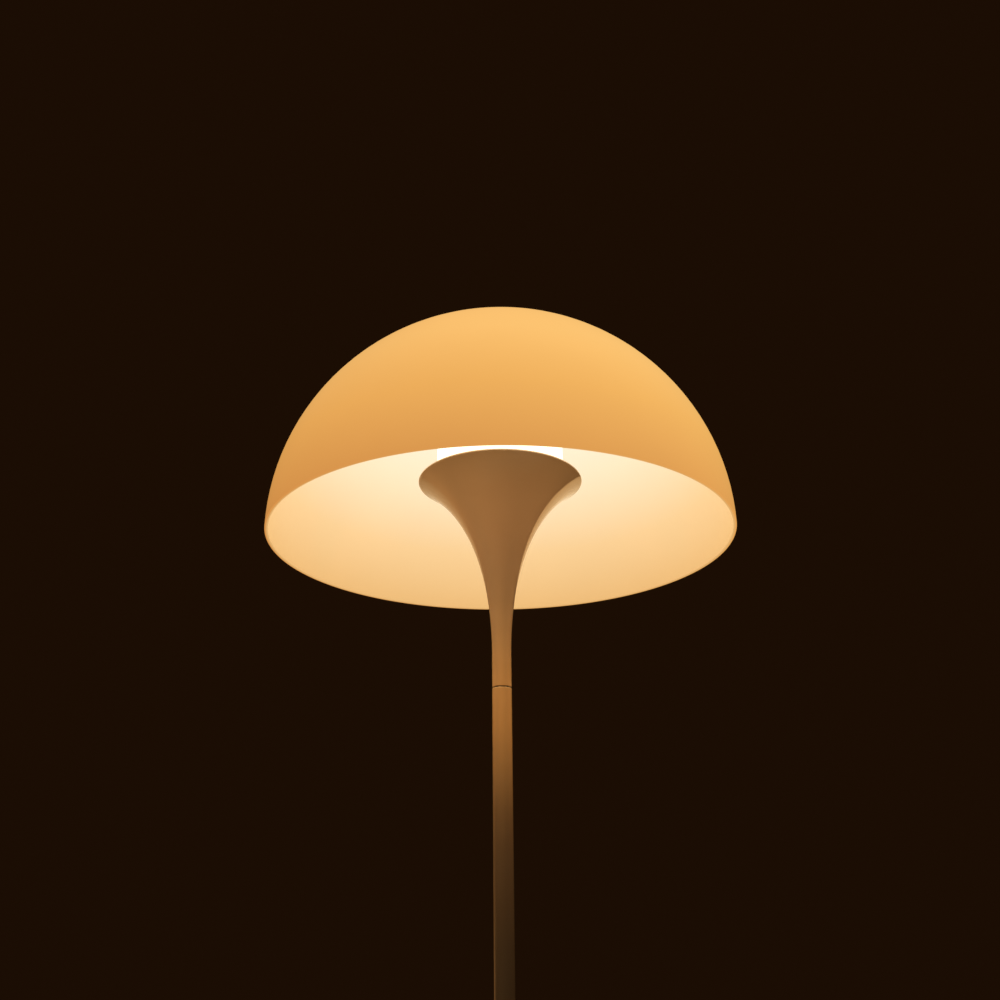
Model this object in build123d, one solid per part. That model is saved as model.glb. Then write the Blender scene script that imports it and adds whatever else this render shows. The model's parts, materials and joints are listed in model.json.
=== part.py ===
from build123d import *

# Mushroom floor lamp, in millimetres, +Z up, origin on the floor under the middle of the foot.
# A flared foot with a ballast weight carries a thin stem and a trumpet. Inside the trumpet's
# mouth sit a lampholder and an opal drum, and the hemispherical shade drops over the drum's top.
# The rear of the lamp, where the mains lead goes in, is towards +Y.

import os
from math import cos, pi, radians, sin, sqrt

# ---- Clearances ------------------------------------------------------------------------------
SEAT_GAP = 0.3        # between a piece that lifts or presses and what it rests on
SLIDE_GAP = 0.4       # radial, round a piece that lifts off or is pressed
FIT_GAP = 0.05        # radial, between fixed pieces that fit in one another
BOND_GAP = 0.15       # glue line between the collar and the curved shade
HOLE_GAP = 0.25       # radial, round a screw that passes through
MARGIN = 1.0          # how far a cut runs past the face that it opens
REAR = 90.0           # direction of the rear, in degrees from +X

# ---- Stem ------------------------------------------------------------------------------------
STEM_RADIUS = 8.0
STEM_WALL = 1.5
STEM_LENGTH = 779.0
SEAM_WIDTH = 0.9      # the shadow line at each stem joint, which is the coupler's flange
SEAM_DEPTH = 1.0
SEAM_CHAMFER = 0.3
SPIGOT_LENGTH = 30.0  # how far a coupler reaches into the stem tube
THREAD_RADIUS = 5.0   # the hollow M10 thread of the couplers and of the lampholder's nipple
LEAD_RADIUS = 3.0
LEAD_PASSAGE = 3.6    # radius of the bore that the lead runs through
LEAD_BEND_SHARE = 0.8  # radius of the lead's bend below the stem, of its run along the base plate
NUT_HEIGHT = 5.0
NUT_CORNER_RADIUS = 8.1
WASHER_RADIUS = 8.6
WASHER_THICKNESS = 1.2
THREAD_END = 3.0      # thread that shows below a nut

# ---- Foot ------------------------------------------------------------------------------------
FOOT_RADIUS = 140.0
FOOT_HEIGHT = 200.0       # floor to the lower stem joint
FOOT_EDGE_HEIGHT = 17.0   # top of the foot's outer edge
FOOT_EDGE_ROUND = 2.5
FOOT_WALL = 3.0
FOOT_FLOOR_GAP = 2.0      # shadow gap between the foot's edge and the floor
FOOT_NECK_REACH = 165.0   # how strongly the flare leaves the stem
FOOT_TOE_REACH = 80.0     # how strongly it runs out to the edge
FOOT_TOE_RISE = 3.0
FOOT_NECK_SOLID = 104.0   # from the stem joint down to the seat of the coupler's nut
PAD_THICKNESS = 3.0
PAD_RADIUS = 9.0
PAD_CHAMFER = 0.5
PAD_COUNT = 6
PAD_INSET = 20.0          # pad centre, in from the foot's edge
PLATE_THICKNESS = 1.5
PLATE_GAP = 0.5
BALLAST_INSET = 34.0      # weight's edge, in from the foot's edge
BALLAST_THICKNESS = 8.0
BALLAST_HUB_RADIUS = 58.0
BALLAST_HUB_THICKNESS = 9.0
BALLAST_BORE = 20.0
BALLAST_SCREW_COUNT = 3
BALLAST_SCREW_CIRCLE = 80.0
BALLAST_SCREW_LENGTH = 7.0
LEAD_CHANNEL_WIDTH = 10.0
BASE_SCREW_COUNT = 4
BASE_SCREW_RADIUS = 2.0
BASE_SCREW_HEAD_RADIUS = 3.8
BASE_SCREW_HEAD = 1.2
BASE_SCREW_LENGTH = 9.0
BASE_BOSS_RADIUS = 4.5
BASE_BOSS_INSET = 21.0    # boss centre, in from the foot's edge

# ---- Lead inlet at the rear of the foot ------------------------------------------------------
INLET_RISE = 3.5          # lead's centre above the base plate
INLET_BORE = 3.6          # takes a 7 mm round flex
GLAND_RADIUS = 4.6
GLAND_FLANGE_RADIUS = 5.7
GLAND_FLANGE = 1.6
GLAND_LENGTH = 12.0
GLAND_NUT_RADIUS = 5.9
GLAND_NUT_THICKNESS = 3.0
CLAMP_WIDTH = 26.0
CLAMP_DEPTH = 8.0
CLAMP_WALL = 2.0
CLAMP_INSET = 20.0        # clamp centre, in from the foot's edge
CLAMP_SCREW_SPACING = 18.0
CLAMP_SCREW_RADIUS = 1.4
CLAMP_SCREW_HEAD_RADIUS = 2.6
CLAMP_SCREW_HEAD = 1.6

# ---- Foot switch -----------------------------------------------------------------------------
SWITCH_INSET = 40.0       # button centre, in from the foot's rear edge
SWITCH_BODY = 22.0        # side of the square housing
SWITCH_BODY_HEIGHT = 9.0
SWITCH_BODY_FLOOR = 2.0
SWITCH_WELL_RADIUS = 7.5
SWITCH_POCKET_GAP = 2.0
BEZEL_RADIUS = 11.0
BEZEL_WALL = 2.4
BEZEL_LIP = 1.6           # thickness of the lip that keeps the button in
BEZEL_RISE = 1.0          # how far the bezel stands out of the foot on its higher side
BEZEL_ROUND = 0.8
BUTTON_RISE = 3.0         # button above its bezel
BUTTON_TRAVEL = 3.0
BUTTON_ROUND = 1.2
BUTTON_FLANGE = 0.9       # how far the button's flange reaches under the lip
BUTTON_FLANGE_THICKNESS = 1.5
PLUNGER_RADIUS = 2.5
PLUNGER_END_GAP = 1.2     # left under the plunger when the button is fully down
SPRING_RADIUS = 4.6       # of the wire's centre
SPRING_WIRE_RADIUS = 0.45
SPRING_TURNS = 5
CONTACT_WIDTH = 3.0
CONTACT_THICKNESS = 0.6
CONTACT_LENGTH = 3.6

# ---- Trumpet ---------------------------------------------------------------------------------
TRUMPET_LENGTH = 181.5    # stem joint to lip
TRUMPET_LIP_RADIUS = 71.8
TRUMPET_WALL = 2.0
TRUMPET_NECK = 27.0       # straight length above the joint
TRUMPET_NECK_REACH = 104.0
TRUMPET_LIP_REACH = 24.6
TRUMPET_LIP_ANGLE = 29.4  # slope of the flare at its lip, from level
TRUMPET_LIP_ROUND = 0.7
TRUMPET_THREAD = 25.0
LUG_COUNT = 3
LUG_RADIUS = 4.5
LUG_INSET = 7.0           # lug centre, in from the drum flange's bore

# ---- Carrier plate and opal drum -------------------------------------------------------------
DRUM_SINK = 7.2           # drum's foot below the trumpet's lip
DRUM_RADIUS = 55.5
DRUM_WALL = 2.5
DRUM_HEIGHT = 128.0
DRUM_FLANGE_WIDTH = 9.5
DRUM_FLANGE_THICKNESS = 2.5
DRUM_EDGE_ROUND = 0.8
CARRIER_THICKNESS = 2.0
CARRIER_INSET = 2.0       # carrier's edge, in from the drum's
VENT_COUNT = 6
VENT_RADIUS = 3.5
VENT_INSET = 6.0          # vent centre, out from the clamping ring
CARRIER_SCREW_RADIUS = 2.0
CARRIER_SCREW_HEAD_RADIUS = 3.8
CARRIER_SCREW_HEAD = 2.4
CARRIER_SCREW_LENGTH = 9.0
DRUM_SCREW_RADIUS = 1.5
DRUM_SCREW_HEAD_RADIUS = 2.8
DRUM_SCREW_HEAD = 1.8

# ---- Lampholder (E27) ------------------------------------------------------------------------
HOLDER_RISE = 10.0        # holder's rim above the carrier plate
HOLDER_RADIUS = 20.0
HOLDER_WALL = 2.4
HOLDER_SKIRT_LENGTH = 36.0
HOLDER_CAP_LENGTH = 20.0
HOLDER_CAP_TAPER = 12.0   # height over which the cap widens
HOLDER_CAP_FOOT_RADIUS = 11.0
HOLDER_CAP_WALL = 2.0
HOLDER_FLANGE = 2.5       # width and thickness of the flange under the carrier plate
RIM_ROUND = 0.7
SOCKET_DEPTH = 30.0       # rim to the socket's floor
CORE_THICKNESS = 7.0
SHELL_BORE = 13.4         # smallest radius inside the socket's thread rings
SHELL_WALL = 0.5
THREAD_PITCH = 3.6
THREAD_DEPTH = 0.7
SHELL_TURNS = 6
CLAMP_RING_WALL = 5.0     # ring over the carrier plate
CLAMP_RING_HEIGHT = 5.0
TERMINAL_OFFSET = 8.5
TERMINAL_RADIUS = 1.5
TERMINAL_HEAD_RADIUS = 2.6
TERMINAL_HEAD = 2.0
TERMINAL_LENGTH = 4.0
TONGUE_WIDTH = 5.0
TONGUE_THICKNESS = 0.6
TONGUE_ROUND = 2.0
CONDUCTOR_RADIUS = 1.1
CONDUCTOR_SPREAD = 0.3    # half the space between the conductors where they leave the lead
LEAD_STRIP = 1.0          # lead left showing above the nipple
NIPPLE_LENGTH = 16.0
NIPPLE_OVERLAP = 6.0      # nipple's reach into the holder's cap

# ---- Bulb ------------------------------------------------------------------------------------
BULB_CAP_RADIUS = 13.0
BULB_CAP_LENGTH = 21.0
BULB_THREAD_TURNS = 4
BULB_TIP_RADIUS = 4.5
BULB_TIP_HEIGHT = 1.6
BULB_TIP_CHAMFER = 0.8
BULB_INSULATOR_FOOT = 5.5
BULB_INSULATOR_HEAD = 11.5
BULB_INSULATOR_HEIGHT = 4.4
BULB_HOUSING_HEIGHT = 26.0
BULB_HOUSING_LAP = 0.6    # housing's foot, out from the screw cap
BULB_GLOBE_RADIUS = 30.0
BULB_GLOBE_MOUTH = 23.0
BULB_GLOBE_WALL = 1.5
LED_BOARD_RADIUS = 18.0
LED_BOARD_THICKNESS = 1.6
LED_COUNT = 8
LED_CIRCLE = 12.0
LED_SIZE = 3.0
LED_HEIGHT = 0.8

# ---- Shade -----------------------------------------------------------------------------------
SHADE_RADIUS = 200.0
SHADE_WALL = 2.8
SHADE_RIM_ROUND = 0.7
COLLAR_WALL = 2.5
COLLAR_OVERLAP = 8.0      # skirt of the collar over the drum
COLLAR_HEIGHT = 12.3      # from the collar's seat to where its outside meets the shade

# ---- Screw heads -----------------------------------------------------------------------------
HEAD_ROUND_SHARE = 0.4    # of the head's height
DRIVE_WIDTH_SHARE = 0.5   # hexagonal recess, of the head's radius
DRIVE_DEPTH_SHARE = 0.6   # of the head's height


# ---- Helpers ---------------------------------------------------------------------------------
def ring(radius, bore, low, high):
    """An upright tube, or a disc where bore is 0."""
    section = Circle(radius) - Circle(bore) if bore else Circle(radius)
    return extrude(Plane.XY.offset(low) * section, high - low)


def rod_y(radius, start, end, z, bore=0):
    """A round bar or tube along Y, from start to end, at height z."""
    section = Circle(radius) - Circle(bore) if bore else Circle(radius)
    return extrude(Plane((0, start, z), x_dir=(1, 0, 0), z_dir=(0, 1, 0)) * section, end - start)


def block(width, depth, low, high, y=0.0):
    """A box centred on the YZ plane."""
    return extrude(Plane((0, y, low)) * Rectangle(width, depth), high - low)


def around(count, radius, start=0.0):
    """Places evenly spaced on a circle, the first one at the angle start."""
    turns = [radians(start + 360 * i / count) for i in range(count)]
    return [(radius * cos(a), radius * sin(a)) for a in turns]


def beside_rear(count, radius):
    """Places evenly spaced on a circle, the first two equally far to both sides of the rear."""
    return around(count, radius, REAR - 180 / count)


def at_each(places, shape):
    """Copies of a shape made at the origin's X and Y, one at each place."""
    return [Pos(x, y, 0) * shape for x, y in places]


def drilled(solid, places, radius, low, high):
    """A solid with an upright hole at each place."""
    for hole in at_each(places, ring(radius, 0, low, high)):
        solid -= hole
    return solid


def path(*points):
    """Straight edges in the XZ plane through (radius, height) points."""
    corners = [(r, 0, z) for r, z in points]
    return [Line(a, b) for a, b in zip(corners, corners[1:])]


def flare(points):
    """One cubic curve in the XZ plane, its four control points given as (radius, height)."""
    return Bezier(*[(r, 0, z) for r, z in points])


def turned(edges):
    """The solid that a closed outline in the XZ plane makes when turned about Z."""
    return revolve(make_face(Wire(edges)), Axis.Z)


def inside_flare(points):
    """The solid between a flare's curve and the axis, with level ends."""
    return turned([flare(points), *path(points[-1], (0, points[-1][1]), (0, points[0][1]), points[0])])


def flare_height(points, radius, halvings=40):
    """Height of a flare's curve at a radius, found by halving."""
    low, high = 0.0, 1.0
    height = points[0][1]
    for _ in range(halvings):
        t = (low + high) / 2
        weights = ((1 - t)**3, 3 * (1 - t)**2 * t, 3 * (1 - t) * t**2, t**3)
        reached = sum(w * p[0] for w, p in zip(weights, points))
        height = sum(w * p[1] for w, p in zip(weights, points))
        low, high = (t, high) if reached < radius else (low, t)
    return height


def outer_circles(solid, radius):
    """The round edges of a solid that are wider than radius."""
    return solid.edges().filter_by(GeomType.CIRCLE).filter_by(lambda e: e.radius > radius)


def screw(radius, length, head_radius, head, under_head):
    """A pan-head screw pointing down, its head standing on the height under_head."""
    top = ring(head_radius, 0, under_head, under_head + head)
    top = fillet(top.edges().group_by(Axis.Z)[-1], head * HEAD_ROUND_SHARE)
    recess = RegularPolygon(head_radius * DRIVE_WIDTH_SHARE, 6)
    depth = head * DRIVE_DEPTH_SHARE
    top -= extrude(Plane.XY.offset(under_head + head - depth) * recess, depth)
    return top + ring(radius, 0, under_head - length, under_head)


def screw_up(radius, length, head_radius, head, under_head):
    """The same screw pointing up, its head hanging under the height under_head."""
    return Pos(0, 0, under_head) * Rot(180, 0, 0) * screw(radius, length, head_radius, head, 0)


def hex_nut(low, high):
    """A hexagonal nut on the hollow thread."""
    body = extrude(Plane.XY.offset(low) * RegularPolygon(NUT_CORNER_RADIUS, 6), high - low)
    return body - ring(THREAD_RADIUS + FIT_GAP, 0, low, high)


# ---- Profiles shared by a shell and what fits in it ------------------------------------------
def foot_curves():
    """Outer and inner curve of the foot, from neck to edge."""
    neck_z = FOOT_HEIGHT - SEAM_CHAMFER
    outside = [
        (STEM_RADIUS, neck_z),
        (STEM_RADIUS, FOOT_HEIGHT - FOOT_NECK_REACH),
        (FOOT_RADIUS - FOOT_TOE_REACH, FOOT_EDGE_HEIGHT + FOOT_TOE_RISE),
        (FOOT_RADIUS, FOOT_EDGE_HEIGHT),
    ]
    inside = [
        (STEM_RADIUS - FOOT_WALL, neck_z),
        (STEM_RADIUS - FOOT_WALL, outside[1][1] - FOOT_WALL),
        (outside[2][0], outside[2][1] - FOOT_WALL),
        (FOOT_RADIUS - FOOT_WALL, FOOT_EDGE_HEIGHT - FOOT_WALL),
    ]
    return outside, inside


def trumpet_curves():
    """Outer and inner curve of the trumpet, from neck to lip."""
    neck_z = trumpet_bottom + TRUMPET_NECK
    slope = radians(TRUMPET_LIP_ANGLE)
    reach = TRUMPET_LIP_REACH
    outside = [
        (STEM_RADIUS, neck_z),
        (STEM_RADIUS, neck_z + TRUMPET_NECK_REACH),
        (TRUMPET_LIP_RADIUS - reach * cos(slope), trumpet_lip - reach * sin(slope)),
        (TRUMPET_LIP_RADIUS, trumpet_lip),
    ]
    inner_neck = STEM_RADIUS - TRUMPET_WALL
    inside = [(inner_neck, neck_z), (inner_neck, neck_z + TRUMPET_NECK_REACH)]
    inside += [(r - TRUMPET_WALL * sin(slope), z + TRUMPET_WALL * cos(slope)) for r, z in outside[2:]]
    return outside, inside


# ---- Places that follow from the sizes -------------------------------------------------------
plate_bottom = PAD_THICKNESS
plate_top = plate_bottom + PLATE_THICKNESS
nut_seat = FOOT_HEIGHT - FOOT_NECK_SOLID
tube_bottom = FOOT_HEIGHT + SEAM_WIDTH
tube_top = tube_bottom + STEM_LENGTH
trumpet_bottom = tube_top + SEAM_WIDTH
trumpet_lip = trumpet_bottom + TRUMPET_LENGTH
carrier_top = trumpet_lip - DRUM_SINK
carrier_bottom = carrier_top - CARRIER_THICKNESS
drum_bore = DRUM_RADIUS - DRUM_WALL
drum_flange_bore = DRUM_RADIUS - DRUM_FLANGE_WIDTH
drum_top = carrier_top + DRUM_HEIGHT

foot_outside, foot_inside = foot_curves()
trumpet_outside, trumpet_inside = trumpet_curves()
boss_places = beside_rear(BASE_SCREW_COUNT, FOOT_RADIUS - BASE_BOSS_INSET)
ballast_screw_places = beside_rear(BALLAST_SCREW_COUNT, BALLAST_SCREW_CIRCLE)
ballast_top = plate_top + BALLAST_THICKNESS
hub_top = ballast_top + BALLAST_HUB_THICKNESS

inlet_z = plate_top + INLET_RISE
gland_outer_y = FOOT_RADIUS + GLAND_FLANGE
gland_inner_y = gland_outer_y - GLAND_LENGTH
gland_nut_y = sqrt((FOOT_RADIUS - FOOT_WALL)**2 - GLAND_NUT_RADIUS**2)
clamp_y = FOOT_RADIUS - CLAMP_INSET
clamp_screw_places = [(side * CLAMP_SCREW_SPACING / 2, clamp_y) for side in (-1, 1)]

switch_y = FOOT_RADIUS - SWITCH_INSET
switch_floor = plate_top + SWITCH_BODY_FLOOR
switch_top = plate_top + SWITCH_BODY_HEIGHT
bezel_top = flare_height(foot_outside, switch_y - BEZEL_RADIUS) + BEZEL_RISE
bezel_bore = BEZEL_RADIUS - BEZEL_WALL
button_radius = bezel_bore - SLIDE_GAP
button_flange_top = bezel_top - BEZEL_LIP - SEAT_GAP
button_underside = button_flange_top - BUTTON_FLANGE_THICKNESS
button_top = bezel_top + BUTTON_RISE
plunger_bottom = switch_floor + BUTTON_TRAVEL + PLUNGER_END_GAP

lug_places = around(LUG_COUNT, drum_flange_bore - LUG_INSET, REAR)
clamp_ring_radius = HOLDER_RADIUS + CLAMP_RING_WALL
vent_places = around(VENT_COUNT, clamp_ring_radius + VENT_INSET)
drum_screw_places = beside_rear(LUG_COUNT, (drum_bore + drum_flange_bore) / 2)

holder_rim = carrier_top + HOLDER_RISE
skirt_bottom = holder_rim - HOLDER_SKIRT_LENGTH
holder_bottom = skirt_bottom - HOLDER_CAP_LENGTH
nipple_top = holder_bottom + NIPPLE_OVERLAP
lead_top = nipple_top + LEAD_STRIP
socket_floor = holder_rim - SOCKET_DEPTH
core_bottom = socket_floor - CORE_THICKNESS
shell_top = socket_floor + SHELL_TURNS * THREAD_PITCH
shell_outer = SHELL_BORE + THREAD_DEPTH + SHELL_WALL
core_outer = HOLDER_RADIUS - HOLDER_WALL - FIT_GAP
terminal_places = [(-TERMINAL_OFFSET, 0), (TERMINAL_OFFSET, 0)]

bulb_tip_z = socket_floor + TONGUE_THICKNESS + SEAT_GAP
bulb_insulator_z = bulb_tip_z + BULB_TIP_HEIGHT
bulb_shell_z = bulb_insulator_z + BULB_INSULATOR_HEIGHT
bulb_housing_z = bulb_shell_z + BULB_CAP_LENGTH
bulb_globe_z = bulb_housing_z + BULB_HOUSING_HEIGHT
led_z = bulb_globe_z + LED_BOARD_THICKNESS

shade_seat = drum_top + SEAT_GAP
shade_inner = SHADE_RADIUS - SHADE_WALL
collar_bore = DRUM_RADIUS + SLIDE_GAP
collar_radius = collar_bore + COLLAR_WALL
shade_rim = shade_seat + COLLAR_HEIGHT - sqrt(shade_inner**2 - collar_radius**2)


# ---- Foot ------------------------------------------------------------------------------------
def foot_body():
    """The foot's outside as one solid, before it is hollowed."""
    neck_top = (STEM_RADIUS - SEAM_CHAMFER, FOOT_HEIGHT)
    edge_low = (FOOT_RADIUS, FOOT_FLOOR_GAP)
    axis_low, axis_high = (0, FOOT_FLOOR_GAP), (0, FOOT_HEIGHT)
    closing = path(foot_outside[-1], edge_low, axis_low, axis_high, neck_top, foot_outside[0])
    body = turned([flare(foot_outside), *closing])
    return fillet(outer_circles(body, FOOT_RADIUS - MARGIN).sort_by(Axis.Z)[-1], FOOT_EDGE_ROUND)


def foot_hollow():
    """The space under the foot's shell, round the screw bosses and below the solid neck."""
    edge_radius, edge_top = foot_inside[-1]
    hollow = inside_flare(foot_inside) + ring(edge_radius, 0, 0, edge_top)
    hollow -= ring(FOOT_RADIUS, 0, nut_seat, FOOT_HEIGHT)
    for boss in at_each(boss_places, ring(BASE_BOSS_RADIUS, 0, plate_top, FOOT_EDGE_HEIGHT)):
        hollow -= boss
    return hollow


def foot_shell():
    """The painted cast foot, with holes for coupler, base screws, switch and lead."""
    shell = foot_body() - foot_hollow()
    shell -= ring(THREAD_RADIUS + FIT_GAP, 0, nut_seat, FOOT_HEIGHT)
    screw_end = plate_bottom + BASE_SCREW_LENGTH
    shell = drilled(shell, boss_places, BASE_SCREW_RADIUS + FIT_GAP, plate_top, screw_end)
    shell = drilled(shell, [(0, switch_y)], BEZEL_RADIUS + FIT_GAP, switch_top, FOOT_HEIGHT)
    return shell - rod_y(GLAND_RADIUS + FIT_GAP, gland_inner_y, FOOT_RADIUS + MARGIN, inlet_z)


def ballast_weight():
    """The cast-iron weight, with a channel for the lead and a pocket for the switch."""
    weight = ring(FOOT_RADIUS - BALLAST_INSET, BALLAST_BORE, plate_top, ballast_top)
    weight += ring(BALLAST_HUB_RADIUS, BALLAST_BORE, ballast_top, hub_top)
    weight -= block(LEAD_CHANNEL_WIDTH, FOOT_RADIUS, plate_top, hub_top, FOOT_RADIUS / 2)
    pocket = SWITCH_BODY + 2 * SWITCH_POCKET_GAP
    weight -= block(pocket, pocket, plate_top, hub_top, switch_y)
    depth = plate_bottom + BALLAST_SCREW_LENGTH
    return drilled(weight, ballast_screw_places, BASE_SCREW_RADIUS + FIT_GAP, plate_top, depth)


def base_plate():
    """The steel plate that closes the foot from below, notched round the gland."""
    plate = ring(FOOT_RADIUS - FOOT_WALL - PLATE_GAP, 0, plate_bottom, plate_top)
    notch_y = min(gland_nut_y - GLAND_NUT_THICKNESS, gland_inner_y) - PLATE_GAP
    width, depth = 2 * (GLAND_NUT_RADIUS + PLATE_GAP), FOOT_RADIUS - notch_y
    plate -= block(width, depth, plate_bottom, plate_top, notch_y + depth / 2)
    screw_places = boss_places + ballast_screw_places
    plate = drilled(plate, screw_places, BASE_SCREW_RADIUS + HOLE_GAP, plate_bottom, plate_top)
    return drilled(plate, clamp_screw_places, CLAMP_SCREW_RADIUS + FIT_GAP, plate_bottom, plate_top)


def base_screw(length):
    """A screw pointing up through the base plate, its head under the plate."""
    return screw_up(BASE_SCREW_RADIUS, length, BASE_SCREW_HEAD_RADIUS, BASE_SCREW_HEAD, plate_bottom)


def base_screws():
    """Screws up through the base plate into the foot's bosses."""
    return at_each(boss_places, base_screw(BASE_SCREW_LENGTH))


def ballast_screws():
    """Screws up through the base plate into the weight."""
    return at_each(ballast_screw_places, base_screw(BALLAST_SCREW_LENGTH))


def foot_pads():
    """Rubber pads under the base plate, which the lamp stands on."""
    pad = chamfer(ring(PAD_RADIUS, 0, 0, PAD_THICKNESS).edges().group_by(Axis.Z)[0], PAD_CHAMFER)
    return at_each(around(PAD_COUNT, FOOT_RADIUS - PAD_INSET), pad)


# ---- Lead inlet ------------------------------------------------------------------------------
def cable_gland():
    """A flanged bush at the rear of the foot, open for a round flex."""
    bush = rod_y(GLAND_RADIUS, gland_inner_y, FOOT_RADIUS, inlet_z)
    bush += rod_y(GLAND_FLANGE_RADIUS, FOOT_RADIUS, gland_outer_y, inlet_z)
    bush = fillet(bush.edges().group_by(Axis.Y)[-1], GLAND_FLANGE / 2)
    return bush - rod_y(INLET_BORE, gland_inner_y, gland_outer_y, inlet_z)


def gland_nut():
    """The round nut that pulls the gland's flange against the foot."""
    near = gland_nut_y - GLAND_NUT_THICKNESS
    return rod_y(GLAND_NUT_RADIUS, near, gland_nut_y, inlet_z, GLAND_RADIUS + FIT_GAP)


def cord_clamp():
    """The saddle that holds the lead down on the base plate."""
    near, far = clamp_y - CLAMP_DEPTH / 2, clamp_y + CLAMP_DEPTH / 2
    outside = LEAD_RADIUS + CLAMP_WALL
    inside = LEAD_RADIUS + FIT_GAP
    ear_top = plate_top + CLAMP_WALL
    clamp = block(CLAMP_WIDTH, CLAMP_DEPTH, plate_top, ear_top, clamp_y)
    clamp += block(2 * outside, CLAMP_DEPTH, plate_top, inlet_z, clamp_y)
    upper_half = block(2 * outside, CLAMP_DEPTH, inlet_z, inlet_z + outside, clamp_y)
    clamp += rod_y(outside, near, far, inlet_z) & upper_half
    clamp -= rod_y(inside, near, far, inlet_z)
    clamp -= block(2 * inside, CLAMP_DEPTH, plate_top, inlet_z, clamp_y)
    return drilled(clamp, clamp_screw_places, CLAMP_SCREW_RADIUS + HOLE_GAP, plate_top, ear_top)


def clamp_screws():
    """Two screws through the clamp's ears into the base plate."""
    length = CLAMP_WALL + PLATE_THICKNESS
    under_head = plate_top + CLAMP_WALL
    one = screw(CLAMP_SCREW_RADIUS, length, CLAMP_SCREW_HEAD_RADIUS, CLAMP_SCREW_HEAD, under_head)
    return at_each(clamp_screw_places, one)


def inlet_lead():
    """The lead from the gland to the switch."""
    return rod_y(LEAD_RADIUS, switch_y + SWITCH_BODY / 2, gland_inner_y, inlet_z)


def stem_lead():
    """The lead from the switch to the axis, and up the stem to just above the lampholder's nipple."""
    start = switch_y - SWITCH_BODY / 2
    bend = LEAD_BEND_SHARE * start
    route = FilletPolyline((0, start, inlet_z), (0, 0, inlet_z), (0, 0, lead_top), radius=bend)
    section = Plane((0, start, inlet_z), x_dir=(1, 0, 0), z_dir=(0, -1, 0)) * Circle(LEAD_RADIUS)
    lead = sweep(section, route)
    length = start - bend + pi / 2 * bend + lead_top - inlet_z - bend
    share = lead.volume / (pi * LEAD_RADIUS**2 * length)
    print(f"stem lead: bend radius {bend:.1f}, volume over section times length {share:.4f}")
    return lead


# ---- Foot switch -----------------------------------------------------------------------------
def switch_housing():
    """The square housing with a well for plunger and spring."""
    body = block(SWITCH_BODY, SWITCH_BODY, plate_top, switch_top, switch_y)
    return drilled(body, [(0, switch_y)], SWITCH_WELL_RADIUS, switch_floor, switch_top)


def switch_bezel():
    """The ring that stands on the housing and shows round the button, with a lip over its flange."""
    bezel = ring(BEZEL_RADIUS, bezel_bore, switch_top, bezel_top)
    bezel = fillet(outer_circles(bezel, bezel_bore).sort_by(Axis.Z)[-1], BEZEL_ROUND)
    bezel -= ring(button_radius + BUTTON_FLANGE + SLIDE_GAP, 0, switch_top, bezel_top - BEZEL_LIP)
    return Pos(0, switch_y, 0) * bezel


def foot_button():
    """The button that is pressed with a foot, with the flange that keeps it in and its plunger."""
    cap = ring(button_radius, 0, button_underside, button_top)
    cap = fillet(cap.edges().group_by(Axis.Z)[-1], BUTTON_ROUND)
    cap += ring(button_radius + BUTTON_FLANGE, 0, button_underside, button_flange_top)
    return Pos(0, switch_y, 0) * (cap + ring(PLUNGER_RADIUS, 0, plunger_bottom, button_underside))


def switch_spring():
    """The return spring round the plunger, between the housing's floor and the button."""
    low = switch_floor + SPRING_WIRE_RADIUS
    high = button_underside - SEAT_GAP - SPRING_WIRE_RADIUS
    pitch = (high - low) / SPRING_TURNS
    coil = Helix(pitch=pitch, height=high - low, radius=SPRING_RADIUS)
    section = Plane(coil @ 0, z_dir=coil % 0) * Circle(SPRING_WIRE_RADIUS)
    print(f"switch spring: gap between turns {pitch - 2 * SPRING_WIRE_RADIUS:.2f} at rest")
    return Pos(0, switch_y, low) * sweep(section, coil, is_frenet=True)


def switch_contacts():
    """Two brass blades on the floor of the well, outside the spring."""
    reach = (SPRING_RADIUS + SPRING_WIRE_RADIUS + SWITCH_WELL_RADIUS) / 2
    blade = Box(CONTACT_THICKNESS, CONTACT_WIDTH, CONTACT_LENGTH)
    return [Pos(side * reach, switch_y, switch_floor + CONTACT_LENGTH / 2) * blade for side in (-1, 1)]


# ---- Stem ------------------------------------------------------------------------------------
def coupler(spigot, flange, thread):
    """A turned coupler: spigot, flange and thread given as (low, high) heights."""
    body = ring(STEM_RADIUS - STEM_WALL - FIT_GAP, 0, *spigot)
    body += ring(STEM_RADIUS - SEAM_DEPTH, 0, *flange)
    body += ring(THREAD_RADIUS, 0, *thread)
    return body - ring(LEAD_PASSAGE, 0, min(spigot + thread), max(spigot + thread))


def lower_coupler():
    """Joins foot and stem; its long thread reaches down to the nut under the neck."""
    thread_end = nut_seat - WASHER_THICKNESS - NUT_HEIGHT - THREAD_END
    spigot = (tube_bottom, tube_bottom + SPIGOT_LENGTH)
    return coupler(spigot, (FOOT_HEIGHT, tube_bottom), (thread_end, FOOT_HEIGHT))


def upper_coupler():
    """Joins stem and trumpet."""
    spigot = (tube_top - SPIGOT_LENGTH, tube_top)
    thread_end = trumpet_bottom + TRUMPET_THREAD - SEAM_WIDTH
    return coupler(spigot, (tube_top, trumpet_bottom), (trumpet_bottom, thread_end))


def coupler_washer():
    """Washer under the foot's neck."""
    return ring(WASHER_RADIUS, THREAD_RADIUS + FIT_GAP, nut_seat - WASHER_THICKNESS, nut_seat)


def coupler_nut():
    """The nut that pulls stem and foot together."""
    high = nut_seat - WASHER_THICKNESS
    return hex_nut(high - NUT_HEIGHT, high)


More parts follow.
